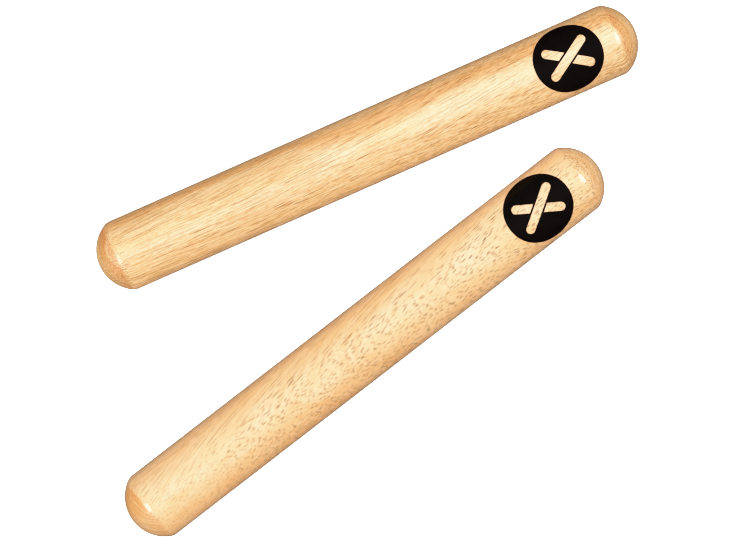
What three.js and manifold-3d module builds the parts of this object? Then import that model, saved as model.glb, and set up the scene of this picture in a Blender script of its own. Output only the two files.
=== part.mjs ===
// A pair of claves: two loose, solid, turned hardwood sticks with domed ends, each with one
// printed black disc near its right-hand (+X) end.
// Millimetres, +Z up. The pair lies on the table plane z = 0, and the origin is the middle of
// the pair's footprint. The resting clave (held in the cupped hand and struck) runs along +X.
// The striking clave lies beside it on the -Y side, its right-hand end turned towards it.
import * as THREE from "three";
import { mergeVertices } from "three/addons/utils/BufferGeometryUtils.js";
import Module from "manifold-3d";

// ---- The turned stick ----
const LENGTH = 201; // over both domes
const RADIUS = 25.4 / 2; // a 1 in dowel
const DOME_RADIUS = 13.9; // each end is a spherical cap, a little flatter than a half ball
const SHOULDER_RADIUS = 5; // sanded round where the cap meets the shaft
const FACETS = 64; // sides of the shaft; one faces straight down, and the stick rests on it
const CAP_STEPS = 9; // rings on the spherical cap
const SHOULDER_STEPS = 4; // rings on the sanded shoulder

// ---- The printed disc ----
const BADGE_FROM_END = 25.6; // from the right-hand apex to the disc's centre, along the stick
const BADGE_LENGTH = 24.4; // along the stick
const BADGE_WIDTH = 22.5; // straight across, seen from above; the film wraps round the stick
const BADGE_SQUARENESS = 2.12; // exponent of the outline: 2 is an ellipse
const BADGE_POINTS = 72; // points on the outline
const FILM_GAP = 0.03; // between wood and film, so that the two solids stay apart
const FILM_THICKNESS = 0.1;
const TUBE_MARGIN = 1; // how far the film's tube runs past each end of the disc before trimming
const CUTTER_HEIGHT = RADIUS * 1.5; // from the stick's axis to well above the film

// The mark in the disc: two crossed bars, cut through the film so that the wood shows.
const BAR_LENGTH = 18.6;
const BAR_WIDTH = 3.1;
const BAR_TURN = 33; // degrees each bar leans from the stick's direction
const BAR_END_STEPS = 8; // segments on each round end
const CROSSING_GAP = 0.62; // strip of film on each side of the upper bar, over the lower one
const CROSSING_LENGTH = BAR_LENGTH * 0.72; // of the area kept clear of the lower bar

// ---- How the pair lies: centres in plan, turns in degrees anticlockwise from above ----
const AXIS_HEIGHT = RADIUS * Math.cos(Math.PI / FACETS); // the lowest side lies on z = 0
const RESTING = {
  name: "resting_clave",
  colour: 0xeec28b,
  centre: [12.61, 41.19],
  turn: 0,
};
const STRIKING = {
  name: "striking_clave",
  colour: 0xf0ca98,
  centre: [-15.15, -19.52],
  turn: 13.91,
};

// ---- Materials ----
const wood = (color) =>
  new THREE.MeshStandardMaterial({ color, roughness: 0.3, metalness: 0 });
const ink = () =>
  new THREE.MeshStandardMaterial({ color: 0x0d0c0d, roughness: 0.35, metalness: 0 });

// ---- Between three.js and manifold-3d ----
const wasm = await Module();
wasm.setup();

// Makes a manifold-3d solid of a three.js geometry, which loses its normals and uvs.
function solid(geometry) {
  // Vertices on a seam merge only if nothing but their positions is compared.
  geometry.deleteAttribute("normal");
  geometry.deleteAttribute("uv");
  const merged = mergeVertices(geometry, 1e-4);
  return new wasm.Manifold(
    new wasm.Mesh({
      numProp: 3,
      vertProperties: merged.attributes.position.array,
      triVerts: new Uint32Array(merged.index.array),
    }),
  );
}

function geometryOf(manifold) {
  const mesh = manifold.getMesh();
  const positions = new Float32Array(mesh.vertProperties);
  const geometry = new THREE.BufferGeometry();
  geometry.setAttribute("position", new THREE.BufferAttribute(positions, 3));
  geometry.setIndex(new THREE.BufferAttribute(new Uint32Array(mesh.triVerts), 1));
  geometry.computeVertexNormals();
  return geometry;
}

// ---- Turned bodies ----
// Turns a profile of [radius, distance along X] points about the X axis,
// with one of the body's sides facing straight down.
function turned(profile) {
  const points = profile.map(([radius, along]) => new THREE.Vector2(radius, along));
  return new THREE.LatheGeometry(points, FACETS, Math.PI / FACETS, 2 * Math.PI).rotateZ(
    -Math.PI / 2,
  );
}

// The stick's half profile, from the left apex to the right one.
function stickProfile() {
  const capCentre = LENGTH / 2 - DOME_RADIUS;
  // The shoulder's small circle touches the shaft's side and the inside of the cap's sphere.
  const shoulderOut = RADIUS - SHOULDER_RADIUS;
  const shoulderFromCap = Math.sqrt((DOME_RADIUS - SHOULDER_RADIUS) ** 2 - shoulderOut ** 2);
  const shoulderAlong = capCentre + shoulderFromCap;
  // Angle from the axis where cap and shoulder meet.
  const meet = Math.atan2(shoulderOut, shoulderFromCap);

  const rightEnd = [];
  for (let i = 0; i <= SHOULDER_STEPS; i++) {
    const angle = Math.PI / 2 - ((Math.PI / 2 - meet) * i) / SHOULDER_STEPS;
    rightEnd.push([
      shoulderOut + SHOULDER_RADIUS * Math.sin(angle),
      shoulderAlong + SHOULDER_RADIUS * Math.cos(angle),
    ]);
  }
  // The last step has angle 0, which puts the apex exactly on the axis.
  for (let i = 1; i <= CAP_STEPS; i++) {
    const angle = meet * (1 - i / CAP_STEPS);
    rightEnd.push([
      DOME_RADIUS * Math.sin(angle),
      capCentre + DOME_RADIUS * Math.cos(angle),
    ]);
  }
  const leftEnd = rightEnd.map(([radius, along]) => [radius, -along]).reverse();
  return [...leftEnd, ...rightEnd];
}

// A thin tube round the stick, from which the disc is cut.
function filmTube() {
  const inner = RADIUS + FILM_GAP;
  const outer = inner + FILM_THICKNESS;
  const reach = BADGE_LENGTH / 2 + TUBE_MARGIN;
  return turned([
    [inner, -reach],
    [outer, -reach],
    [outer, reach],
    [inner, reach],
    [inner, -reach],
  ]);
}

// ---- Plan outlines, seen from above: x along the stick, y across it ----
// The disc is a superellipse.
function discOutline() {
  const curve = (value) => Math.sign(value) * Math.abs(value) ** (2 / BADGE_SQUARENESS);
  const points = [];
  for (let i = 0; i < BADGE_POINTS; i++) {
    const angle = (2 * Math.PI * i) / BADGE_POINTS;
    points.push(
      new THREE.Vector2(
        (BADGE_LENGTH / 2) * curve(Math.cos(angle)),
        (BADGE_WIDTH / 2) * curve(Math.sin(angle)),
      ),
    );
  }
  return new THREE.Shape(points);
}

// A bar with round ends, centred on the disc and leaning by turn degrees.
function barOutline({ length = BAR_LENGTH, width = BAR_WIDTH, turn }) {
  const endRadius = width / 2;
  const reach = length / 2 - endRadius;
  const middle = new THREE.Vector2(0, 0);
  const points = [];
  for (const side of [1, -1]) {
    for (let i = 0; i <= BAR_END_STEPS; i++) {
      const angle = (-side * Math.PI) / 2 + (Math.PI * i) / BAR_END_STEPS;
      const point = new THREE.Vector2(
        side * reach + endRadius * Math.cos(angle),
        endRadius * Math.sin(angle),
      );
      points.push(point.rotateAround(middle, THREE.MathUtils.degToRad(turn)));
    }
  }
  return new THREE.Shape(points);
}

// An upright prism on a plan outline, from the stick's axis up through the film.
const prism = (outline) =>
  solid(new THREE.ExtrudeGeometry(outline, { depth: CUTTER_HEIGHT, bevelEnabled: false }));

// ---- The printed disc, wrapped over the top of the stick ----
function badgeGeometry() {
  const upper = prism(barOutline({ turn: BAR_TURN }));
  const lower = prism(barOutline({ turn: -BAR_TURN }));
  // The lower bar is interrupted by a strip on each side of the upper one.
  const crossing = prism(
    barOutline({
      length: CROSSING_LENGTH,
      width: BAR_WIDTH + 2 * CROSSING_GAP,
      turn: BAR_TURN,
    }),
  );
  const mark = lower.subtract(crossing).add(upper);
  return geometryOf(solid(filmTube()).intersect(prism(discOutline())).subtract(mark));
}

// ---- The pair ----
const stickGeometry = turned(stickProfile());
const filmGeometry = badgeGeometry();

// One clave with its printed disc, built along X about its own centre and then laid in place.
function clave({ name, colour, centre: [x, y], turn }) {
  const stick = new THREE.Mesh(stickGeometry, wood(colour));
  stick.name = name;
  const badge = new THREE.Mesh(filmGeometry, ink());
  badge.name = `${name}_badge`;
  badge.position.x = LENGTH / 2 - BADGE_FROM_END;

  const group = new THREE.Group();
  group.add(stick, badge);
  group.position.set(x, y, AXIS_HEIGHT);
  group.rotation.z = THREE.MathUtils.degToRad(turn);
  return group;
}

const pair = new THREE.Group();
pair.add(clave(RESTING), clave(STRIKING));

export default pair;
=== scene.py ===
"""A pair of lacquered wooden claves, each with a black printed disc near one end.

Both lie level with z up: the resting clave runs along x and the striking clave is turned
in plan. Each is modelled in its own millimetres, with x along it towards its disc and its
middle at the origin, and is then placed in the frame's metres.
"""
import math
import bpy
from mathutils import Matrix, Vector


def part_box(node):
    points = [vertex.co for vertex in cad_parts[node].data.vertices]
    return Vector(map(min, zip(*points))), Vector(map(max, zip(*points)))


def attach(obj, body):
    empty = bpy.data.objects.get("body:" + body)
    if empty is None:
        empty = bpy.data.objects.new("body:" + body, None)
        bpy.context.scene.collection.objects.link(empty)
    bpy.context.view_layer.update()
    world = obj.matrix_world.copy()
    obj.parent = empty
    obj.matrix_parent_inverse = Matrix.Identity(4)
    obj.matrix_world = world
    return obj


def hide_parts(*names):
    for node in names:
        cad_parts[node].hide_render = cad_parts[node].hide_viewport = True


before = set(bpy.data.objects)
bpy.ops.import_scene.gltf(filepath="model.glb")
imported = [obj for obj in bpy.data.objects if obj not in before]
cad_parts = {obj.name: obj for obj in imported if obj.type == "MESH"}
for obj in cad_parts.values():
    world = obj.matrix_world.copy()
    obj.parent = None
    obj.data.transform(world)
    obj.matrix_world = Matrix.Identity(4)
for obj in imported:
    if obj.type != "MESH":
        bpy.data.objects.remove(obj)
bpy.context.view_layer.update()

from types import SimpleNamespace

import bmesh
import bpy
from mathutils import Matrix, Vector, noise
from mathutils.geometry import delaunay_2d_cdt

MM = 0.001

# ---- Sticks, in mm ----
DOME_RADIUS = 13.9
SHOULDER_RADIUS = 5.0  # the rounding between shaft and dome
SHOULDER_STEPS = 10
DOME_STEPS = 26
SHAFT_STEPS = 130
STEPS_AROUND = 176

# ---- Printed discs, in mm ----
DISC_SQUARENESS = 2.12  # exponent of the superellipse: 2 is a plain ellipse
DISC_STEPS = 176
BAR_LENGTH = 18.6  # the two crossed bars left open in the film
BAR_WIDTH = 3.1
BAR_TURN = 33.0  # degrees from the stick's direction
BAR_END_STEPS = 14
CROSSING_GAP = 0.62  # film between the upper bar and the cut lower bar
FILM_RISE = 0.075  # over the wood
FILM_SINK = 0.06  # underside, below the wood's surface
FILM_EDGE = [(0.0, 0.03), (0.045, 0.062), (0.11, FILM_RISE)]  # inset, rise
FILM_GRID = 0.42
FILM_GRID_MARGIN = 0.3  # bare of grid points beside the edges

# ---- View, in mm ----
VIEW_TURN = 23.80  # degrees that the resting clave rises to the right in the view
VIEW_MIDDLE = (-4.39, 2.39)
VIEW_WIDTH = 252.5  # at the height of the sticks' axes
CAMERA_HEIGHT = 1500.0
SENSOR_WIDTH = 36.0


# ---------------------------------------------------------------- where a stick lies
def plan_middle(co):
    return (co[0] + co[1]) / 2 / MM


class Stick:
    """A clave's middle, direction, length and radius and its disc's size, read in mm."""

    def __init__(self, node, disc_node):
        low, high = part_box(node)
        self.radius = (high.z - low.z) / MM / 2
        self.mid = plan_middle((low, high))
        points = [v.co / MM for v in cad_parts[node].data.vertices]
        # principal direction in plan
        count = len(points)
        spread_x = sum((p.x - self.mid.x) ** 2 for p in points) / count
        spread_y = sum((p.y - self.mid.y) ** 2 for p in points) / count
        spread_xy = sum((p.x - self.mid.x) * (p.y - self.mid.y) for p in points) / count
        self.angle = 0.5 * math.atan2(2 * spread_xy, spread_x - spread_y)
        direction = Vector((math.cos(self.angle), math.sin(self.angle), 0))
        if direction.dot(plan_middle(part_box(disc_node)) - self.mid) < 0:
            direction = -direction
            self.angle += math.pi
        along = [direction.dot(p - self.mid) for p in points]
        self.length = max(along) - min(along)

        # the disc's plan size in the stick's own directions
        side = Vector((-direction.y, direction.x, 0))
        disc_points = [v.co / MM - self.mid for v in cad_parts[disc_node].data.vertices]
        along = [direction.dot(p) for p in disc_points]
        across = [side.dot(p) for p in disc_points]
        self.disc_x = (max(along) + min(along)) / 2
        self.disc_length = max(along) - min(along)
        self.disc_width = max(across) - min(across)

    def place(self):
        """Matrix from the stick's own mm to the frame's metres."""
        return (
            Matrix.Translation(self.mid * MM)
            @ Matrix.Rotation(self.angle, 4, "Z")
            @ Matrix.Scale(MM, 4)
        )


def new_object(name, bm, smooth=True):
    mesh = bpy.data.meshes.new(name)
    bm.to_mesh(mesh)
    bm.free()
    for face in mesh.polygons:
        face.use_smooth = smooth
    obj = bpy.data.objects.new(name, mesh)
    bpy.context.scene.collection.objects.link(obj)
    return obj


# ---------------------------------------------------------------- the turned stick
def stick_profile(length, radius):
    """(x, radius) stations from one apex to the other, close together on the domes."""
    dome_x = length / 2 - DOME_RADIUS
    shoulder_r = radius - SHOULDER_RADIUS
    shoulder_x = dome_x + math.sqrt((DOME_RADIUS - SHOULDER_RADIUS) ** 2 - shoulder_r**2)
    meet = math.atan2(shoulder_r, shoulder_x - dome_x)
    end = []
    for i in range(SHOULDER_STEPS + 1):
        angle = math.pi / 2 - (math.pi / 2 - meet) * i / SHOULDER_STEPS
        end.append((
            shoulder_x + SHOULDER_RADIUS * math.cos(angle),
            shoulder_r + SHOULDER_RADIUS * math.sin(angle),
        ))
    for i in range(1, DOME_STEPS + 1):
        angle = meet * (1 - i / DOME_STEPS)
        end.append((dome_x + DOME_RADIUS * math.cos(angle), DOME_RADIUS * math.sin(angle)))
    shaft = [
        (-shoulder_x + 2 * shoulder_x * i / SHAFT_STEPS, radius) for i in range(1, SHAFT_STEPS)
    ]
    return [(-x, r) for x, r in reversed(end)] + shaft + end


def sanding(x, cosine, sine, seed):
    """The small unevenness of hand sanding, a few hundredths of a mm."""
    slow = noise.noise(Vector((x / 23, cosine * 1.3, sine * 1.3)) + Vector((seed * 7.3, 0, 0)))
    fine = noise.noise(Vector((x / 6, cosine * 3.1, sine * 3.1)) + Vector((0, seed * 5.1, 0)))
    return 0.018 * slow + 0.006 * fine - 0.012


def make_stick(name, stick, seed):
    bm = bmesh.new()
    rings = []
    for x, radius in stick_profile(stick.length, stick.radius):
        if radius < 1e-6:
            rings.append([bm.verts.new((x, 0, 0))])
            continue
        ring = []
        fade = min(1.0, radius / 4)  # no unevenness at the apex
        for k in range(STEPS_AROUND):
            angle = 2 * math.pi * k / STEPS_AROUND
            cosine, sine = math.cos(angle), math.sin(angle)
            uneven = radius + sanding(x, cosine, sine, seed) * fade
            ring.append(bm.verts.new((x, uneven * sine, uneven * cosine)))
        rings.append(ring)
    for ring, after in zip(rings, rings[1:]):
        for k in range(STEPS_AROUND):
            j = (k + 1) % STEPS_AROUND
            if len(ring) == 1:
                bm.faces.new((ring[0], after[j], after[k]))
            elif len(after) == 1:
                bm.faces.new((ring[k], ring[j], after[0]))
            else:
                bm.faces.new((ring[k], ring[j], after[j], after[k]))
    bmesh.ops.recalc_face_normals(bm, faces=bm.faces)
    bm.transform(stick.place())
    return new_object(name, bm)


# ---------------------------------------------------------------- flat loops, anticlockwise
def disc_loop(length, width):
    """A superellipse."""
    power = 2 / DISC_SQUARENESS
    points = []
    for i in range(DISC_STEPS):
        angle = 2 * math.pi * i / DISC_STEPS
        cosine, sine = math.cos(angle), math.sin(angle)
        points.append(Vector((
            (length / 2) * math.copysign(abs(cosine) ** power, cosine),
            (width / 2) * math.copysign(abs(sine) ** power, sine),
        )))
    return points


def bar_loop(turn):
    """A round-ended bar through the origin, turned by some degrees."""
    radius = BAR_WIDTH / 2
    reach = BAR_LENGTH / 2 - radius
    points = []
    for centre, start in ((reach, -math.pi / 2), (-reach, math.pi / 2)):
        for i in range(BAR_END_STEPS + 1):
            angle = start + math.pi * i / BAR_END_STEPS
            points.append(Vector((centre + radius * math.cos(angle), radius * math.sin(angle))))
    rotation = Matrix.Rotation(math.radians(turn), 2)
    return [rotation @ p for p in points]


def clip(loop, normal, distance):
    """The part of a convex loop where normal . p > distance."""
    kept = []
    for i, here in enumerate(loop):
        after = loop[(i + 1) % len(loop)]
        a, b = normal.dot(here) - distance, normal.dot(after) - distance
        if a > 0:
            kept.append(here)
        if (a > 0) != (b > 0):
            kept.append(here + (after - here) * (a / (a - b)))
    return kept


def refine(loop, step):
    """The loop with its long sides divided."""
    points = []
    for i, here in enumerate(loop):
        after = loop[(i + 1) % len(loop)]
        parts = max(1, int(math.ceil((after - here).length / step)))
        for j in range(parts):
            points.append(here + (after - here) * (j / parts))
    return points


def offset_loop(loop, distance):
    """Moves a loop inwards, or outwards where distance is negative."""
    moved = []
    for i, here in enumerate(loop):
        arrive = (here - loop[i - 1]).normalized()
        leave = (loop[(i + 1) % len(loop)] - here).normalized()
        normal = Vector((-arrive.y, arrive.x))
        mitre = normal + Vector((-leave.y, leave.x))
        if mitre.length < 1e-6:
            mitre = normal.copy()
        mitre.normalize()
        moved.append(here + mitre * (distance / max(0.5, mitre.dot(normal))))
    return moved


def inside(loop, p):
    hit = False
    for i, a in enumerate(loop):
        b = loop[i - 1]
        if (a.y > p.y) != (b.y > p.y) and p.x < (b.x - a.x) * (p.y - a.y) / (b.y - a.y) + a.x:
            hit = not hit
    return hit


def between(outer, holes, p):
    return inside(outer, p) and not any(inside(hole, p) for hole in holes)


# ---------------------------------------------------------------- the printed disc
def film_outlines(stick):
    """The disc's edge, and the openings: one whole bar and two parts of the bar it crosses."""
    lower = bar_loop(-BAR_TURN)
    turn = math.radians(BAR_TURN)
    normal = Vector((-math.sin(turn), math.cos(turn)))
    distance = BAR_WIDTH / 2 + CROSSING_GAP
    holes = [bar_loop(BAR_TURN), clip(lower, normal, distance), clip(lower, -normal, distance)]
    outer = refine(disc_loop(stick.disc_length, stick.disc_width), 0.4)
    return outer, [refine(hole, 0.35) for hole in holes]


def film_triangles(stick):
    """Flat points, the rise of each, and the faces of the film."""
    outer, holes = film_outlines(stick)
    points, rises, edges = [], [], []
    for inset, rise in FILM_EDGE:
        for loop in [offset_loop(outer, inset)] + [offset_loop(h, -inset) for h in holes]:
            start, count = len(points), len(loop)
            points.extend(loop)
            rises.extend([rise] * count)
            edges.extend((start + i, start + (i + 1) % count) for i in range(count))

    # a staggered grid between the edges
    grid_outer = offset_loop(outer, FILM_GRID_MARGIN)
    grid_holes = [offset_loop(hole, -FILM_GRID_MARGIN) for hole in holes]
    count_x = int(stick.disc_length / FILM_GRID / 2) + 2
    count_y = int(stick.disc_width / FILM_GRID / 2) + 2
    for i in range(-count_x, count_x + 1):
        for j in range(-count_y, count_y + 1):
            stagger = 0.5 * FILM_GRID if j % 2 else 0.0
            p = Vector((i * FILM_GRID + stagger, j * FILM_GRID * 0.87))
            if between(grid_outer, grid_holes, p):
                points.append(p)
                rises.append(FILM_RISE)

    flat, _, triangles, sources, _, _ = delaunay_2d_cdt(points, edges, [], 0, 1e-5)
    levels = [rises[source[0]] if source else FILM_RISE for source in sources]
    faces = []
    for face in triangles:
        centre = sum((flat[i] for i in face), Vector((0, 0))) / len(face)
        if between(outer, holes, centre):
            faces.append(face)
    return flat, levels, faces


def make_disc(name, stick):
    """A thin closed film with softened edges that follows the wood, its underside inside it."""
    flat, levels, faces = film_triangles(stick)
    bm = bmesh.new()

    def wrapped(p, radius):
        angle = math.asin(max(-1.0, min(1.0, p.y / (stick.radius + FILM_RISE))))
        return (p.x + stick.disc_x, radius * math.sin(angle), radius * math.cos(angle))

    used = sorted({i for face in faces for i in face})
    top = {i: bm.verts.new(wrapped(flat[i], stick.radius + levels[i])) for i in used}
    under = {i: bm.verts.new(wrapped(flat[i], stick.radius - FILM_SINK)) for i in used}
    sides = {}  # directed edges, kept in order
    for face in faces:
        bm.faces.new([top[i] for i in face])
        bm.faces.new([under[i] for i in reversed(face)])
        sides.update(dict.fromkeys(zip(face, list(face[1:]) + [face[0]])))
    for a, b in sides:
        if (b, a) not in sides:
            bm.faces.new((top[b], top[a], under[a], under[b]))
    bmesh.ops.recalc_face_normals(bm, faces=bm.faces)
    bm.transform(stick.place())
    return new_object(name, bm)


# ---------------------------------------------------------------- node helpers
class Nodes:
    """The node tree of a material or world. Most methods add a node and return its output."""

    def __init__(self, owner):
        self.owner = owner
        owner.use_nodes = True
        self.tree = owner.node_tree
        self.tree.nodes.clear()

    def add(self, kind, **settings):
        node = self.tree.nodes.new(kind)
        node.location = (40 * len(self.tree.nodes), 0)
        for key, value in settings.items():
            setattr(node, key, value)
        return node

    def put(self, socket, value):
        if isinstance(value, bpy.types.NodeSocket):
            self.tree.links.new(value, socket)
        else:
            socket.default_value = value

    def fill(self, node, values):
        for socket, value in zip(node.inputs, values):
            self.put(socket, value)
        return node

    def math(self, operation, *values, clamp=False):
        node = self.add("ShaderNodeMath", operation=operation, use_clamp=clamp)
        return self.fill(node, values).outputs[0]

    def plus(self, a, b):
        return self.math("ADD", a, b)

    def times(self, value, factor):
        return self.math("MULTIPLY", value, factor)

    def times_add(self, value, factor, plus):
        return self.math("MULTIPLY_ADD", value, factor, plus)

    def centred(self, value):
        """Noise moved to lie about zero."""
        return self.math("SUBTRACT", value, 0.5)

    def measure(self, operation, *vectors):
        """The number that a vector operation gives."""
        node = self.add("ShaderNodeVectorMath", operation=operation)
        return self.fill(node, vectors).outputs[1]

    def combine(self, *values):
        return self.fill(self.add("ShaderNodeCombineXYZ"), values).outputs[0]

    def split(self, vector):
        return tuple(self.fill(self.add("ShaderNodeSeparateXYZ"), (vector,)).outputs)

    def mapping(self, vector, move=(0, 0, 0), turn=(0, 0, 0), scale=(1, 1, 1)):
        node = self.add("ShaderNodeMapping")
        return self.fill(node, (vector, move, turn, scale)).outputs[0]

    def stick_space(self, stick):
        """The texture coordinates, and the place in the stick's own mm."""
        coords = self.add("ShaderNodeTexCoord").outputs
        move = -(Matrix.Rotation(-stick.angle, 3, "Z") @ stick.mid)
        turn = (0, 0, -stick.angle)
        return coords, self.mapping(coords["Object"], tuple(move), turn, (1 / MM,) * 3)

    def noise(self, where, detail, rough, scale=1.0, colour=False, dims="3D"):
        node = self.add("ShaderNodeTexNoise", noise_dimensions=dims)
        self.put(node.inputs["W" if dims == "1D" else "Vector"], where)
        node.inputs["Scale"].default_value = scale
        node.inputs["Detail"].default_value = detail
        node.inputs["Roughness"].default_value = rough
        return node.outputs["Color" if colour else "Fac"]

    def bands(self, value, gap, shift, detail, rough):
        """Noise along one value, with bands about gap wide."""
        place = self.times_add(value, 1 / gap, shift)
        return self.noise(place, detail, rough, dims="1D")

    def fade(self, value, start, end, low=0.0, high=1.0, curve="SMOOTHSTEP"):
        """Goes from low to high as the value goes from start to end."""
        node = self.add("ShaderNodeMapRange", interpolation_type=curve, clamp=True)
        return self.fill(node, (value, start, end, low, high)).outputs[0]

    def ramp(self, value, stops):
        node = self.add("ShaderNodeValToRGB")
        elements = node.color_ramp.elements
        while len(elements) < len(stops):
            elements.new(0.5)
        for element, (position, colour) in zip(elements, stops):
            element.position = position
            element.color = (*colour, 1)
        self.put(node.inputs[0], value)
        return node.outputs[0]

    def mix(self, factor, a, b, mode="MIX"):
        node = self.add("ShaderNodeMix", data_type="RGBA", blend_type=mode)
        self.put(node.inputs[0], factor)
        for socket, value in ((node.inputs[6], a), (node.inputs[7], b)):
            self.put(socket, (*value, 1) if isinstance(value, tuple) else value)
        return node.outputs[2]

    def multiplied(self, colour, tint):
        return self.mix(1.0, colour, tint, "MULTIPLY")

    def tinted(self, colour, amount, tint):
        return self.mix(amount, colour, self.multiplied(colour, tint))

    def relief(self, height):
        node = self.add("ShaderNodeBump")
        node.inputs["Strength"].default_value = 0.5
        node.inputs["Distance"].default_value = 0.00003
        self.put(node.inputs["Height"], height)
        return node.outputs[0]

    def mix_shader(self, factor, a, b):
        return self.fill(self.add("ShaderNodeMixShader"), (factor, a, b)).outputs[0]

    def output(self, shader, kind="ShaderNodeOutputMaterial"):
        self.put(self.add(kind).inputs[0], shader)
        return self.owner

    def principled(self, **values):
        node = self.add("ShaderNodeBsdfPrincipled")
        for key, value in values.items():
            self.put(node.inputs[key.replace("_", " ")], value)
        return self.output(node.outputs[0])


# ---------------------------------------------------------------- the look of the wood
CREAM = (0.93, 0.655, 0.425)
PALE = (0.92, 0.61, 0.37)
STRAW = (0.91, 0.575, 0.325)
PEACH = (0.895, 0.54, 0.285)
TAN = (0.87, 0.48, 0.225)

# Each entry is (resting clave, striking clave). Lengths are in mm, x runs towards the disc
# and y across the stick; tints multiply the colour.
LOOKS = dict(
    # fibres: turn in plan and rise in degrees, curvature per mm, size and length of bends
    seed=(1.3, 5.9), yaw=(4.5, 9.0), pitch=(-0.6, -8.5), sweep=(0.0009, -0.0012),
    bend=(2.2, 2.4), bend_len=(40.0, 50.0),
    # growth layers: slope and curve across, step and dip in level, waviness, ragged edges
    tilt=(0.06, 0.12), cup=(0.004, 0.006), rise=(3.0, 0.0), dip=(0.5, 0.0),
    ring=(1.5, 2.4), ring_wobble=(1.7, 3.0), wobble_len=(34.0, 30.0), wobble_width=(5.0, 8.0),
    feather=(0.9, 1.0),
    # share of the layer colours, and their (level, colour) stops
    layer_amount=(0.78, 0.25),
    layers=(
        [
            (-13.0, PEACH), (-8.0, STRAW), (-4.0, TAN), (0.0, PEACH), (3.0, STRAW),
            (5.5, STRAW), (7.5, PALE), (8.6, STRAW), (9.6, TAN), (11.7, TAN), (12.0, STRAW),
            (12.25, PALE), (12.55, CREAM), (13.2, CREAM), (13.8, PALE), (14.8, STRAW),
            (15.6, PEACH), (16.4, STRAW),
        ],
        [
            (-16.0, STRAW), (-9.0, PALE), (-5.0, PEACH), (0.0, STRAW), (4.0, PEACH),
            (7.0, STRAW), (9.0, PALE), (11.0, STRAW), (14.0, PALE), (18.0, STRAW),
        ],
    ),
    # even colour on the y < 0 side: amount, and (-y, colour) stops
    even_side=(0.9, 0.0),
    even_colours=(
        [
            (0.0, (0.88, 0.56, 0.36)), (3.4, (0.88, 0.515, 0.285)),
            (5.1, (0.92, 0.555, 0.325)), (6.9, (0.86, 0.565, 0.335)),
            (8.6, (0.835, 0.555, 0.34)), (11.3, (0.90, 0.60, 0.365)),
        ],
        None,
    ),
    # broad patches: size, and colours for the patches and thin rings together
    broad_len=(45.0, 22.0), broad_width=(3.5, 4.0),
    colours=(
        [(0.38, TAN), (0.45, PEACH), (0.50, STRAW), (0.56, STRAW), (0.64, PALE)],
        [(0.36, PEACH), (0.44, STRAW), (0.54, PALE), (0.64, CREAM)],
    ),
    # growth lines: on both sides or y > 0 only, slope, spacing, y where they begin
    line_both=(True, False), line_slope=(0.05, 0.0), line_gap=(0.38, 0.36),
    line_from=(3.0, 6.0), line_amount=(0.9, 0.6),
    line_tint=((0.80, 0.705, 0.545), (0.80, 0.78, 0.66)),
    arches=(0.0, 1.0), fleck=(0.9, 0.35),
    # streaks: size, y of the edge of their side, least amount on the other side
    streak_len=(8.0, 7.0), streak_width=(0.5, 1.0), streak_side=(-2.0, -4.0),
    streak_min=(0.15, 0.4), streak_amount=(0.95, 0.4),
    streak_tint=((0.85, 0.75, 0.54), (0.90, 0.84, 0.68)),
    # fibre lines: size, amount, and the y span over which it passes to fibre_far
    fibre_len=(17.0, 15.0), fibre_width=(0.30, 0.27), fibre_amount=(1.0, 0.2),
    fibre_from=(0.0, 2.0), fibre_to=(1.0, 7.0), fibre_far=(1.0, 0.4),
    fibre_tint=((0.745, 0.695, 0.54), (0.70, 0.70, 0.56)),
    pale_fibre_tint=((1.0, 1.03, 1.06), (1.01, 1.05, 1.11)),
    # wandering of the vessels
    wander=(0.5, 0.26), wander_len=(16.0, 13.0), wander_detail=(2.0, 1.0),
    # vessels: spacing, radii, share kept where few and where crowded, length of open parts
    pore_gap=(0.62, 0.54), pore_radii=((0.08, 0.13), (0.10, 0.15)),
    pore_keep=((0.4, 0.85), (0.5, 1.0)), pore_len=(9.0, 2.4), open_from=(0.40, 0.42),
    small_gap=(0.45, 0.40), small_amount=(0.7, 0.6), end_pore=(0.03, 0.035),
    pore_amount=(0.95, 0.97), pore_tint=((0.37, 0.34, 0.22), (0.22, 0.22, 0.12)),
    # fainter vessels: where grazed (end of the fade, least amount), over a y span
    # (from, to, amount beyond), and at the end away from the disc
    graze=((0.02, 0.8), (0.11, 0.75)), calm=((3.5, 7.5, 0.75), (8.5, 11.0, 0.45)),
    quiet_end=(1.0, 0.5),
    # end grain: slow passage at y < 0, ring spacing, flush, and (end-on amount, tint) stops
    soft_low=(0.0, 0.85), arc_gap=(0.95, 1.1), end_flush=(None, (0.98, 0.88, 0.66)),
    plain_end=(
        [
            (0.50, (0.95, 0.80, 0.66)), (0.66, (0.97, 0.87, 0.75)),
            (0.80, (1.0, 1.00, 0.87)), (0.95, (1.05, 1.10, 0.98)),
        ],
        [
            (0.50, (0.95, 0.87, 0.79)), (0.66, (0.96, 0.91, 0.82)),
            (0.80, (0.98, 0.99, 0.90)), (0.95, (1.02, 1.02, 0.95)),
        ],
    ),
    disc_end=(
        [
            (0.50, (0.96, 0.88, 0.76)), (0.66, (0.98, 0.98, 0.88)),
            (0.80, (1.02, 1.07, 0.97)), (0.95, (1.06, 1.08, 0.98)),
        ],
        [
            (0.50, (0.98, 0.99, 0.93)), (0.66, (0.99, 1.03, 0.97)),
            (0.80, (1.02, 1.07, 1.00)), (0.95, (1.03, 1.08, 1.06)),
        ],
    ),
    # overall: paling towards the disc, tints of the y < 0 and y > 0 sides
    pale_end=(0.0, 0.03), low_side=((1.03, 1.025, 1.055), (0.995, 0.895, 0.835)),
    high_side=((1.03, 1.005, 1.0), (1.025, 0.975, 0.995)),
    # lacquer: roughness, and how much rougher and thinner it is away from the disc
    coat_rough=(0.15, 0.10), dull_end=(0.11, 0.0), thin_end=(0.4, 0.0),
)
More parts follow.
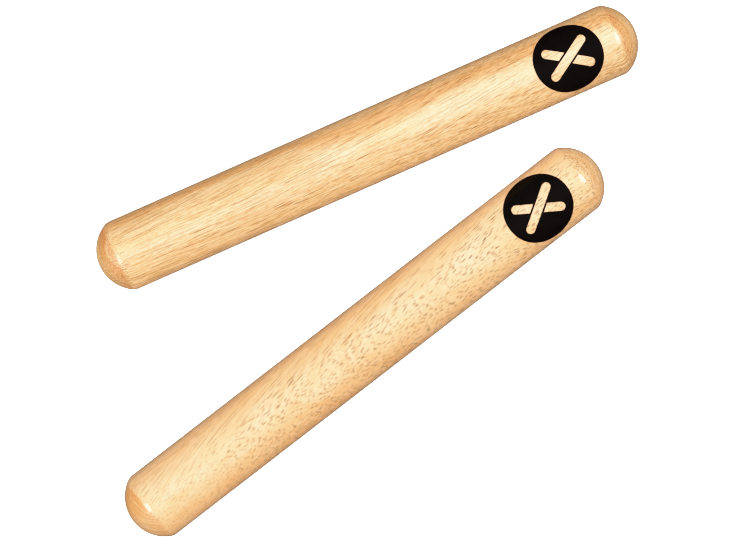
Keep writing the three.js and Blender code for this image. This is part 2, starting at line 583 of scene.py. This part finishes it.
EVEN_REACH = 14.0  # -y covered by the ramp of even colours

# Tint of the amber lacquer together with painted shade: the colour deepens and darkens the more
# slanted the surface is seen, so a stick's sides are painted darker
LACQUER_AND_SHADE_TINTS = [
    (0.0, (1, 1, 1)), (0.04, (1, 0.985, 0.945)), (0.09, (1, 0.96, 0.88)),
    (0.16, (1, 0.945, 0.82)), (0.26, (1, 0.945, 0.80)), (0.38, (1, 0.945, 0.785)),
    (0.55, (1, 0.94, 0.77)), (0.80, (0.97, 0.905, 0.74)), (1.0, (0.93, 0.86, 0.69)),
]


class Wood(Nodes):
    """Solid wood, worked out from where a point is in the timber.

    Lines so run over the shaft and turn to dots on the domes.
    """

    def __init__(self, name, stick, look):
        super().__init__(bpy.data.materials.new(name))
        self.look = look
        coords, self.own = self.stick_space(stick)
        self.x, self.y, _ = self.split(self.own)
        # timber coordinates: along the fibres, across them, and through the growth layers
        yaw, pitch = math.radians(look.yaw), math.radians(look.pitch)
        timber = self.mapping(self.own, turn=(0, 0, -yaw))
        timber = self.mapping(timber, turn=(0, pitch, 0))
        self.along, self.across, self.depth = self.split(timber)

        # the grain's slow sweep and its random bends
        sweep = self.times(self.times(self.along, self.along), look.sweep / 2)
        self.across = self.math("SUBTRACT", self.across, sweep)
        bend = self.field(look.bend_len, 25.0, shift=0.0, detail=1.0, rough=0.5, colour=True)
        bend_across, bend_depth, _ = self.split(bend)
        self.across = self.swayed(self.across, bend_across, look.bend)
        self.depth = self.swayed(self.depth, bend_depth, look.bend * 0.3)

        # how far the cut is from along the fibres: 0 on the side grain, 1 on end grain
        fibre = Vector((
            math.cos(yaw) * math.cos(pitch), math.sin(yaw) * math.cos(pitch), math.sin(pitch),
        ))
        fibre = Matrix.Rotation(stick.angle, 3, "Z") @ fibre
        facing = self.measure("DOT_PRODUCT", coords["Normal"], tuple(fibre))
        self.end_on = self.math("ABSOLUTE", facing)
        self.end_grain = self.fade(self.end_on, start=0.42, end=0.54)
        if look.soft_low:
            # on the y < 0 half of the dome away from the disc, the side grain passes into
            # the end grain little by little
            where = self.times(
                self.fade(self.x, start=5.0, end=-5.0),
                self.fade(self.y, start=1.0, end=-6.0, high=look.soft_low),
            )
            slow = self.fade(self.end_on, start=0.24, end=0.88)
            change = self.math("SUBTRACT", slow, self.end_grain)
            self.end_grain = self.times_add(change, where, self.end_grain)

    def field(self, length, width, shift, detail, rough, height=None, colour=False):
        """Noise drawn out along the fibres."""
        vector = self.combine(
            self.times_add(self.along, 1 / length, shift + self.look.seed),
            self.times_add(self.across, 1 / width, shift * 1.7),
            self.times_add(self.depth, 1 / (height or width), -shift),
        )
        return self.noise(vector, detail, rough, colour=colour)

    def swayed(self, value, sway, amount):
        return self.plus(value, self.times(self.centred(sway), amount))

    def growth_level(self):
        """The height in the stack of nearly level growth layers, with a step where they rise."""
        look = self.look
        level = self.times_add(self.across, look.tilt, self.depth)
        level = self.times_add(self.times(self.across, self.across), look.cup, level)
        if look.rise:
            ragged = self.field(9.0, 0.55, shift=17.0, detail=2.0, rough=0.6)
            self.ragged_x = self.times_add(self.centred(ragged), factor=34.0, plus=self.x)
            step = self.times(
                self.fade(self.ragged_x, start=-30.0, end=-5.0, low=1.0, high=0.0),
                self.fade(self.y, start=-9.0, end=3.0, low=0.35),
            )
            level = self.times_add(step, look.rise, level)
            dip = self.times(
                self.fade(self.ragged_x, start=-22.0, end=-2.0),
                self.fade(self.ragged_x, start=34.0, end=14.0),
            )
            level = self.times_add(dip, -look.dip, level)
        wobble = self.field(look.wobble_len, look.wobble_width, shift=3.1, detail=3.0, rough=0.55)
        self.level = self.times_add(self.centred(wobble), look.ring_wobble, level)
        feather = self.field(13.0, 0.9, shift=13.0, detail=2.0, rough=0.6)
        self.feathered = self.times_add(self.centred(feather), look.feather, self.level)

    def layer_colour(self):
        look = self.look
        low, high = look.layers[0][0], look.layers[-1][0]
        span = high - low
        position = self.times_add(self.feathered, 1 / span, -low / span)
        layer = self.ramp(position, [((level - low) / span, c) for level, c in look.layers])
        if look.even_side:
            position = self.times_add(self.y, -1 / EVEN_REACH, 0.0)
            even = self.ramp(position, [(at / EVEN_REACH, c) for at, c in look.even_colours])
            shift = self.fade(self.ragged_x, start=-34.0, end=-10.0)
            side = self.fade(self.times_add(shift, factor=1.4, plus=self.y), start=2.5, end=-2.0)
            layer = self.mix(self.times(side, look.even_side), layer, even)
        self.rings = self.bands(self.level, look.ring, shift=look.seed, detail=2.0, rough=0.65)
        broad = self.field(look.broad_len, look.broad_width, shift=1.7, detail=2.5, rough=0.55)
        patches = self.plus(self.times(broad, factor=0.6), self.times(self.rings, factor=0.4))
        return self.mix(look.layer_amount, self.ramp(patches, look.colours), layer)

    def with_growth_lines(self, base):
        """Adds the close edges of the thinnest layers."""
        look = self.look
        sloped = self.times_add(self.along, look.line_slope, self.level)
        lines = self.bands(sloped, look.line_gap, shift=4.4, detail=1.0, rough=0.5)
        side = self.math("ABSOLUTE", self.y) if look.line_both else self.y
        side = self.fade(side, start=look.line_from, end=look.line_from + 4.0)
        amount = self.times(self.fade(lines, start=0.50, end=0.64), side)
        return self.tinted(base, self.times(amount, look.line_amount), look.line_tint)

    def with_arches(self, base):
        """Adds layer edges that come up through the top as arches open towards the disc."""
        off_axis = self.plus(self.y, 1.5)
        arch_x = self.times_add(self.times(off_axis, off_axis), factor=-0.17, plus=self.x)
        uneven = self.field(16.0, 4.0, shift=83.0, detail=2.0, rough=0.55)
        arch_x = self.times_add(self.centred(uneven), factor=12.0, plus=arch_x)
        arch = self.bands(arch_x, gap=5.5, shift=2.2, detail=1.0, rough=0.5)
        amount = self.times(
            self.fade(arch, start=0.50, end=0.60),
            self.times(
                self.fade(arch_x, start=-66.0, end=-54.0), self.fade(arch_x, start=25.0, end=-5.0)
            ),
        )
        return self.tinted(base, self.times(amount, self.look.arches), (0.965, 0.92, 0.85))

    def with_streaks(self, base):
        """Adds streaks of deeper colour, stronger towards y < 0."""
        look = self.look
        width, side = look.streak_width, look.streak_side
        streak = self.field(
            look.streak_len, width, shift=7.7, detail=2.0, rough=0.55, height=width * 1.4
        )
        where = self.fade(self.y, start=side + 5.0, end=side - 5.0, low=look.streak_min)
        amount = self.times(self.fade(streak, start=0.54, end=0.62), where)
        return self.tinted(base, self.times(amount, look.streak_amount), look.streak_tint)

    def with_fibres(self, base):
        """Adds long close lines, some darker than the wood and some paler."""
        look = self.look
        length, width = look.fibre_len, look.fibre_width
        long = self.field(length, width, shift=21.0, detail=1.0, rough=0.5)
        short = self.field(length * 0.45, width * 0.8, shift=33.0, detail=1.0, rough=0.5)
        self.fibres = self.math(
            "MAXIMUM",
            self.fade(long, start=0.555, end=0.625),
            self.times(self.fade(short, start=0.56, end=0.64), factor=0.8),
        )
        amount = self.fade(
            self.y, look.fibre_from, look.fibre_to, look.fibre_amount, look.fibre_far
        )
        if look.rise:
            # the palest layer is close and smooth: few lines show in it
            palest = self.times(
                self.fade(self.feathered, start=11.9, end=12.4),
                self.fade(self.ragged_x, start=-30.0, end=-8.0),
            )
            amount = self.times(amount, self.times_add(palest, factor=-0.6, plus=1.0))
        pale = self.fade(long, start=0.46, end=0.36)
        base = self.tinted(base, self.times(pale, amount), look.pale_fibre_tint)
        return self.tinted(base, self.times(self.fibres, amount), look.fibre_tint)

    def with_flecks(self, base):
        """Adds short flecks, where the sanded surface cuts across single fibres."""
        fleck = self.field(1.5, 0.30, shift=71.0, detail=0.0, rough=0.5)
        for start, end, tint in (
            (0.54, 0.66, (0.90, 0.83, 0.72)),
            (0.46, 0.34, (1.02, 1.05, 1.09)),
        ):
            amount = self.times(self.fade(fleck, start, end), self.look.fleck)
            base = self.tinted(base, amount, tint)
        return base

    def vessels(self, place, crowd, spacing, radii, keep, shift, soft, length):
        """Tubes along the fibres, one to a cell, each open only along some stretches."""
        across, depth = place
        cells = self.add("ShaderNodeTexVoronoi", voronoi_dimensions="2D", feature="F1")
        cell = self.combine(
            self.times_add(across, 1 / spacing, shift),
            self.times_add(depth, 1 / spacing, -shift),
            0.0,
        )
        self.put(cells.inputs["Vector"], cell)
        cells.inputs["Scale"].default_value = 1.0
        cells.inputs["Randomness"].default_value = 0.85
        size, chance, which = self.split(cells.outputs["Color"])
        radius = self.times_add(size, (radii[1] - radii[0]) / spacing, radii[0] / spacing)
        radius = self.times_add(self.end_grain, self.look.end_pore / spacing, radius)
        depth_in = self.math("SUBTRACT", radius, cells.outputs["Distance"])
        tube = self.math("ADD", self.times(depth_in, spacing / soft), 0.5, clamp=True)
        kept = self.math("LESS_THAN", chance, self.times_add(crowd, keep[1] - keep[0], keep[0]))
        stretch = self.combine(
            self.times(self.along, 1 / length),
            self.times(which, factor=37.0),
            self.times(size, factor=53.0),
        )
        part = self.noise(stretch, detail=1.0, rough=0.5)
        part = self.fade(part, start=self.look.open_from, end=self.look.open_from + 0.08)
        return self.times(self.times(tube, kept), part)

    def all_vessels(self):
        """Long fine tubes that wander a little, so that a cut along them breaks into dashes."""
        look = self.look
        wander = self.field(
            look.wander_len, 2.2, shift=51.0, detail=look.wander_detail, rough=0.5, colour=True
        )
        wander_across, wander_depth, _ = self.split(wander)
        place = (
            self.swayed(self.across, wander_across, look.wander),
            self.swayed(self.depth, wander_depth, look.wander),
        )
        # some layers hold more vessels than others
        crowd = self.fade(self.rings, start=0.36, end=0.58)
        big = self.vessels(
            place, crowd, look.pore_gap, look.pore_radii, look.pore_keep,
            shift=3.7, soft=0.06, length=look.pore_len,
        )
        small = self.vessels(
            place, crowd, look.small_gap, radii=(0.06, 0.10), keep=(0.35, 0.8),
            shift=11.3, soft=0.05, length=look.pore_len * 0.8,
        )
        pores = self.math("MAXIMUM", big, self.times(small, look.small_amount))
        # a vessel that only grazes the surface is a shallow groove, filled by the lacquer
        graze_end, graze_least = look.graze
        pores = self.times(pores, self.fade(self.end_on, 0.0, graze_end, low=graze_least))
        calm_from, calm_to, calm_amount = look.calm
        pores = self.times(pores, self.fade(self.y, calm_from, calm_to, high=calm_amount, low=1.0))
        if look.quiet_end < 1.0:
            quiet = self.fade(self.x, start=-85.0, end=-45.0, low=look.quiet_end)
            pores = self.times(pores, quiet)
        return pores

    def end_tint(self):
        """End grain: deeper, with its rings as arcs and speckle between the vessels."""
        look = self.look
        speckle = self.noise(
            self.combine(
                self.times(self.along, factor=0.3),
                self.times(self.across, factor=1 / 0.45),
                self.times(self.depth, factor=1 / 0.45),
            ),
            detail=2.0,
            rough=0.6,
        )
        arcs = self.bands(self.level, look.arc_gap, shift=9.1, detail=1.5, rough=0.6)
        tint = self.mix(
            self.fade(self.x, start=-5.0, end=5.0),
            self.ramp(self.end_on, look.plain_end),
            self.ramp(self.end_on, look.disc_end),
        )
        if look.end_flush:
            flush = self.times(
                self.fade(self.x, start=5.0, end=-5.0), self.fade(self.y, start=-3.0, end=3.5)
            )
            tint = self.tinted(tint, flush, look.end_flush)
        # pattern, start and end of its fade, amount, tint
        for pattern, start, end, amount, colour in (
            (speckle, 0.46, 0.62, 0.6, (0.89, 0.80, 0.68)),
            (arcs, 0.46, 0.56, 0.9, (0.91, 0.81, 0.68)),
            (arcs, 0.44, 0.36, 0.8, (1.03, 1.09, 1.14)),
        ):
            tint = self.tinted(tint, self.times(self.fade(pattern, start, end), amount), colour)
        return tint

    def lacquer_and_painted_shade(self, colour):
        """Deepens the colour at a slant: partly the amber lacquer, which light crosses more of
        there, and partly painted shade that darkens the sides.
        """
        amount = self.times_add(self.end_grain, factor=-0.6, plus=1.0)
        slant = self.add("ShaderNodeLayerWeight")
        slant.inputs["Blend"].default_value = 0.5
        return self.tinted(colour, amount, self.ramp(slant.outputs["Facing"], LACQUER_AND_SHADE_TINTS))

    def finish(self, colour, pores):
        """The lacquered surface, with a slow ripple; it follows the vessels only faintly."""
        look = self.look
        rough = self.plus(self.times(self.fibres, factor=0.05), self.times(pores, factor=0.1))
        rough = self.plus(rough, 0.38)
        ripple = self.noise(self.own, detail=2.0, rough=0.5, scale=0.55)
        height = self.plus(self.times(ripple, factor=0.5), self.times(pores, factor=-0.35))
        height = self.plus(height, self.times(self.fibres, factor=-0.05))
        normal = self.relief(height)
        coat, dulled = look.coat_rough, look.coat_rough + look.dull_end
        return self.principled(
            Base_Color=colour,
            Roughness=rough,
            Normal=normal,
            Coat_Roughness=self.fade(self.x, start=-60.0, end=-90.0, low=coat, high=dulled),
            Coat_Weight=self.fade(
                self.x, start=-70.0, end=-90.0, low=0.9, high=0.9 - look.thin_end
            ),
            Coat_IOR=1.5,
            Coat_Normal=normal,
        )


def wood_material(name, stick, look):
    wood = Wood(name, stick, look)
    wood.growth_level()
    base = wood.with_growth_lines(wood.layer_colour())
    if look.arches:
        base = wood.with_arches(base)
    base = wood.with_flecks(wood.with_fibres(wood.with_streaks(base)))
    pores = wood.all_vessels()
    dark = wood.multiplied(base, look.pore_tint)
    base = wood.tinted(base, wood.end_grain, wood.end_tint())
    dark_end = wood.multiplied(base, (0.62, 0.50, 0.36))
    dark = wood.mix(wood.end_grain, dark, dark_end)
    colour = wood.mix(wood.times(pores, look.pore_amount), base, dark)
    if look.pale_end:
        pale = (1.01, 1.0 + look.pale_end, 1.0 + 2 * look.pale_end)
        colour = wood.tinted(colour, wood.fade(wood.x, start=-10.0, end=70.0), pale)
    colour = wood.mix(
        wood.fade(wood.y, start=-12.0, end=12.0),
        wood.multiplied(colour, look.low_side),
        wood.multiplied(colour, look.high_side),
    )
    # the lacquer's depth and painted shade deepen the colour where the surface is seen at a slant
    return wood.finish(wood.lacquer_and_painted_shade(colour), pores)


def ink_material(name, stick, seed):
    """Black ink, with the wood's grain as a faint relief and a few thin spots."""
    nodes = Nodes(bpy.data.materials.new(name))
    _, own = nodes.stick_space(stick)
    x, y, z = nodes.split(own)
    grain_place = nodes.combine(
        nodes.times(x, factor=1 / 7),
        nodes.times(y, factor=1 / 0.4),
        nodes.times_add(z, factor=1 / 0.4, plus=seed),
    )
    grain = nodes.noise(grain_place, detail=3.0, rough=0.6)
    mottle = nodes.noise(own, detail=3.0, rough=0.6, scale=0.35)
    ink = nodes.ramp(mottle, [(0.3, (0.0024, 0.0015, 0.0012)), (0.7, (0.0036, 0.0022, 0.0018))])
    thin = nodes.times(nodes.fade(grain, start=0.70, end=0.80), factor=0.35)
    ink = nodes.mix(thin, ink, (0.022, 0.016, 0.012))
    rough = nodes.times_add(mottle, factor=0.16, plus=0.34)
    height = nodes.plus(nodes.times(grain, factor=0.4), nodes.times(mottle, factor=0.4))
    normal = nodes.relief(height)
    return nodes.principled(
        Base_Color=ink,
        Roughness=rough,
        Normal=normal,
        Specular_IOR_Level=0.02,
        Coat_Weight=0.08,
        Coat_Roughness=0.08,
        Coat_Normal=normal,
    )


# ---------------------------------------------------------------- build
def build_clave(node, stick, index):
    look = SimpleNamespace(**{key: pair[index] for key, pair in LOOKS.items()})
    seed = index + 1.0
    wood = make_stick(node + "_wood", stick, seed)
    wood.data.materials.append(wood_material(node + "_lacquered_wood", stick, look))
    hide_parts(node)
    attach(wood, node)
    film = make_disc(node + "_printed_disc", stick)
    film.data.materials.append(ink_material(node + "_ink", stick, seed * 9.1))
    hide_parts(node + "_badge")
    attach(film, node)


resting = Stick("resting_clave", "resting_clave_badge")
striking = Stick("striking_clave", "striking_clave_badge")
build_clave("resting_clave", resting, 0)
build_clave("striking_clave", striking, 1)

# ---------------------------------------------------------------- stage, in metres
scene = bpy.context.scene
WHITE = 3.0  # brightness of the bare floor and backdrop


def floor_material():
    """Bare white from straight above or far off, a pale floor near by, clear from below."""
    nodes = Nodes(bpy.data.materials.new("floor_paper"))
    geometry = nodes.add("ShaderNodeNewGeometry").outputs
    _, _, steepness = nodes.split(geometry["Incoming"])
    away = nodes.measure("LENGTH", geometry["Position"])
    bare = nodes.math(
        "MAXIMUM",
        nodes.fade(steepness, start=0.93, end=0.985),
        nodes.fade(away, start=0.20, end=0.55),
    )
    white = nodes.add("ShaderNodeEmission")
    white.inputs["Color"].default_value = (1, 1, 1, 1)
    white.inputs["Strength"].default_value = WHITE
    pale = nodes.add("ShaderNodeBsdfDiffuse")
    pale.inputs["Color"].default_value = (0.80, 0.80, 0.80, 1)
    above = nodes.mix_shader(bare, pale.outputs[0], white.outputs[0])
    clear = nodes.add("ShaderNodeBsdfTransparent").outputs[0]
    return nodes.output(nodes.mix_shader(geometry["Backfacing"], above, clear))


def make_floor():
    bm = bmesh.new()
    bmesh.ops.create_grid(bm, x_segments=1, y_segments=1, size=6.0)
    bmesh.ops.translate(bm, verts=bm.verts, vec=(0, 0, -0.00005))
    floor = new_object("floor", bm, smooth=False)
    floor.data.materials.append(floor_material())
    floor.visible_diffuse = False
    floor.visible_glossy = False
    floor.visible_transmission = False


def area_light(name, azimuth, elevation, distance, size, power, glossy=True, diffuse=True):
    """An area light aimed at the origin; azimuth is from the view's right, in degrees."""
    turn, lift = math.radians(azimuth - VIEW_TURN), math.radians(elevation)
    place = Vector((
        math.cos(turn) * math.cos(lift), math.sin(turn) * math.cos(lift), math.sin(lift),
    )) * distance
    light = bpy.data.lights.new(name, "AREA")
    light.shape = "RECTANGLE"
    light.size, light.size_y = size
    light.energy = power
    obj = bpy.data.objects.new(name, light)
    scene.collection.objects.link(obj)
    obj.location = place
    obj.rotation_mode = "QUATERNION"
    obj.rotation_quaternion = (Vector((0, 0, 0)) - place).to_track_quat("-Z", "Y")
    obj.visible_camera = False
    obj.visible_glossy = glossy
    obj.visible_diffuse = diffuse


def make_lights():
    # the broad part of each end light, and the bright middle that shines on a dome
    width, height, radiance = 0.46, 0.56, 8.0
    for side, azimuth in (("right", 24), ("left", 213)):
        area_light(
            side + "_softbox", azimuth, elevation=42, distance=1.15,
            size=(0.86, 0.74), power=11.2, glossy=False,
        )
        area_light(
            side + "_softbox_middle", azimuth, elevation=42, distance=1.10,
            size=(width, height), power=radiance * math.pi * width * height, diffuse=False,
        )
    for side, azimuth, power in (("far", 121, 6.3), ("near", 301, 5.2)):
        area_light(
            side + "_fill", azimuth, elevation=34, distance=1.2,
            size=(1.0, 0.7), power=power, glossy=False,
        )


# Sky brightness: (height of the direction, grey)
DIFFUSE_SKY = [(-1.0, 0.32), (-0.6, 0.24), (-0.15, 0.11), (0.15, 0.30), (0.5, 0.20), (1.0, 0.16)]
GLOSSY_SKY = [
    (-1.0, 0.12), (-0.5, 0.08), (-0.05, 0.04), (0.1, 0.22),
    (0.60, 0.20), (0.82, 0.30), (0.95, 0.60), (1.0, 0.65),
]


def make_world():
    scene.world = bpy.data.worlds.new("studio")
    nodes = Nodes(scene.world)
    rays = nodes.add("ShaderNodeLightPath").outputs
    incoming = nodes.add("ShaderNodeNewGeometry").outputs["Incoming"]
    # Incoming points from the sky to the viewer, so its z is minus the direction's height
    up = nodes.times(nodes.split(incoming)[2], -1.0)

    def sky(stops):
        position = nodes.fade(up, start=-1, end=1, curve="LINEAR")
        return nodes.ramp(position, [((at + 1) / 2, (grey,) * 3) for at, grey in stops])

    colour = nodes.mix(rays["Is Glossy Ray"], sky(DIFFUSE_SKY), sky(GLOSSY_SKY))
    colour = nodes.mix(rays["Is Camera Ray"], colour, (WHITE,) * 3)
    background = nodes.fill(nodes.add("ShaderNodeBackground"), (colour,))
    nodes.output(background.outputs[0], kind="ShaderNodeOutputWorld")


# A film-like shoulder, so that a stick's lit top keeps its colour: (scene light, shown)
SHOULDER = [
    (0.0, 0.0), (0.40, 0.40), (0.60, 0.598), (0.75, 0.735), (0.90, 0.85),
    (1.0, 0.905), (1.2, 0.953), (1.5, 0.978), (2.0, 0.993), (2.6, 1.0),
]


def set_tones():
    scene.view_settings.view_transform = "Standard"
    scene.view_settings.look = "None"
    scene.cycles.filter_width = 1.25
    scene.view_settings.use_curve_mapping = True
    mapping = scene.view_settings.curve_mapping
    brightest = SHOULDER[-1][0]
    mapping.black_level = (0, 0, 0)
    mapping.white_level = (brightest,) * 3
    mapping.use_clip = True
    points = mapping.curves[3].points
    places = [(light / brightest, shown) for light, shown in SHOULDER]
    points[0].location = places[0]
    for place in places[1:-1]:
        points.new(*place)
    points[-1].location = places[-1]
    mapping.update()


def make_camera():
    """Looks straight down from above the middle of the view."""
    camera = bpy.data.cameras.new("camera")
    camera.sensor_width = SENSOR_WIDTH
    camera.lens = SENSOR_WIDTH * CAMERA_HEIGHT / VIEW_WIDTH
    camera.clip_end = 20
    obj = bpy.data.objects.new("camera", camera)
    scene.collection.objects.link(obj)
    x, y = VIEW_MIDDLE
    obj.location = (x * MM, y * MM, (CAMERA_HEIGHT + resting.radius) * MM)
    obj.rotation_euler = (0, 0, math.radians(-VIEW_TURN))
    scene.camera = obj


make_floor()
make_lights()
make_world()
set_tones()
make_camera()
